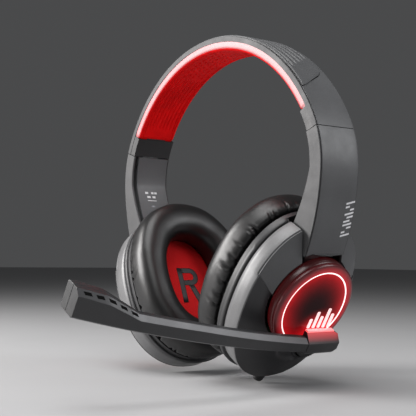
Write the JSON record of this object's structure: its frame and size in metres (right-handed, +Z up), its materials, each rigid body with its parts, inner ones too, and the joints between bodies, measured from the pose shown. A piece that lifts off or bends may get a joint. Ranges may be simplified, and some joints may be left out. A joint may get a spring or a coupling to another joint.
{
  "type": "gaming headset",
  "caption": "Over-ear gaming headset: padded sprung headband, sliding arms, tilting oval ear cups with lit discs, and a swinging microphone boom.",
  "frame": {"origin": "middle of the crown pad's underside, where the headset rests on the head", "axes": "+Z up, wearer's left at +X, wearer's front at -Y"},
  "size_m": [0.195, 0.1828, 0.2057],
  "materials": {
    "cover_plastic": "fine matt texture",
    "side_plastic": "satin, lighter grey",
    "bezel_plastic": "satin",
    "inner_plastic": "plain",
    "steel": "brushed",
    "screw_steel": "blackened",
    "leatherette": "soft grained leatherette over foam",
    "red_pad": "smooth soft leatherette over foam",
    "red_cloth": "open weave",
    "diaphragm_film": "clear film",
    "gloss_black": "glossy",
    "circuit_board": "solder mask",
    "light_pipe": "lit",
    "smoked_lens": "smoked, lit from behind",
    "panel_rubber": "matt, ribbed",
    "rubber_black": "matt",
    "boom_plastic": "fine matt texture"
  },
  "bodies": {
    "headband": {"headband_outer_shell": "cover_plastic", "headband_rib_panel": "panel_rubber", "headband_frame": "side_plastic", "headband_pad": "red_pad", "spring_steel_band": "steel", "slider_guide_left": "inner_plastic", "slider_guide_right": "inner_plastic", "detent_springs": "steel", "headband_screws": "screw_steel"},
    "arm_left": {"arm_outer_cover_left": "cover_plastic", "arm_side_frame_left": "side_plastic", "arm_inner_plate_left": "cover_plastic", "slider_blade_left": "steel", "pivot_tongue_left": "steel", "arm_screws_left": "screw_steel"},
    "arm_right": {"arm_outer_cover_right": "cover_plastic", "arm_side_frame_right": "side_plastic", "arm_inner_plate_right": "cover_plastic", "slider_blade_right": "steel", "pivot_tongue_right": "steel", "arm_screws_right": "screw_steel"},
    "cup_left": {"ear_cushion_left": "leatherette", "ear_cloth_left": "red_cloth", "speaker_baffle_left": "inner_plastic", "driver_basket_left": "inner_plastic", "driver_diaphragm_left": "diaphragm_film", "driver_magnet_left": "steel", "bezel_ring_left": "bezel_plastic", "boss_ring_left": "gloss_black", "led_board_left": "circuit_board", "light_ring_left": "light_pipe", "lens_disc_left": "smoked_lens", "hinge_pin_left": "steel", "cup_screws_left": "screw_steel", "cup_wall_left": "side_plastic", "cup_cover_left": "cover_plastic", "main_board": "circuit_board", "cable_gland": "rubber_black"},
    "cup_right": {"ear_cushion_right": "leatherette", "ear_cloth_right": "red_cloth", "speaker_baffle_right": "inner_plastic", "driver_basket_right": "inner_plastic", "driver_diaphragm_right": "diaphragm_film", "driver_magnet_right": "steel", "bezel_ring_right": "bezel_plastic", "boss_ring_right": "gloss_black", "led_board_right": "circuit_board", "light_ring_right": "light_pipe", "lens_disc_right": "smoked_lens", "hinge_pin_right": "steel", "cup_screws_right": "screw_steel", "cup_wall_right": "side_plastic", "cup_cover_right": "cover_plastic", "trim_ring_right": "gloss_black"},
    "mic_boom": {"boom_collar": "gloss_black", "boom_base_block": "boom_plastic", "boom_casing_outer": "boom_plastic", "boom_casing_inner": "boom_plastic", "microphone_capsule": "steel"},
    "volume_wheel": {"volume_wheel": "rubber_black"}
  },
  "joints": [
    {"name": "slider_left", "type": "slide", "parent": "headband", "child": "arm_left", "axis": [0.3859, 0, -0.9225], "range_m": [0, 0.022]},
    {"name": "slider_right", "type": "slide", "parent": "headband", "child": "arm_right", "axis": [-0.3859, 0, -0.9225], "range_m": [0, 0.022]},
    {"name": "cup_tilt_left", "type": "hinge", "parent": "arm_left", "child": "cup_left", "pos_m": [0.0671, 0.0011, -0.1386], "axis": [-0.0523, 0.9986, 0], "range_deg": [-9, 5]},
    {"name": "cup_tilt_right", "type": "hinge", "parent": "arm_right", "child": "cup_right", "pos_m": [-0.0671, 0.0011, -0.1386], "axis": [-0.0523, -0.9986, 0], "range_deg": [-4, 10]},
    {"name": "boom_swing", "type": "hinge", "parent": "cup_left", "child": "mic_boom", "pos_m": [0.07471, 0.0015, -0.1512], "axis": [0.8648, 0.0453, -0.5], "range_deg": [-112, 20]},
    {"name": "volume_turn", "type": "hinge", "parent": "cup_left", "child": "volume_wheel", "pos_m": [0.04993, 0.02123, -0.17227], "axis": [0.8648, 0.0453, -0.5], "range_deg": [-140, 140]}
  ]
}
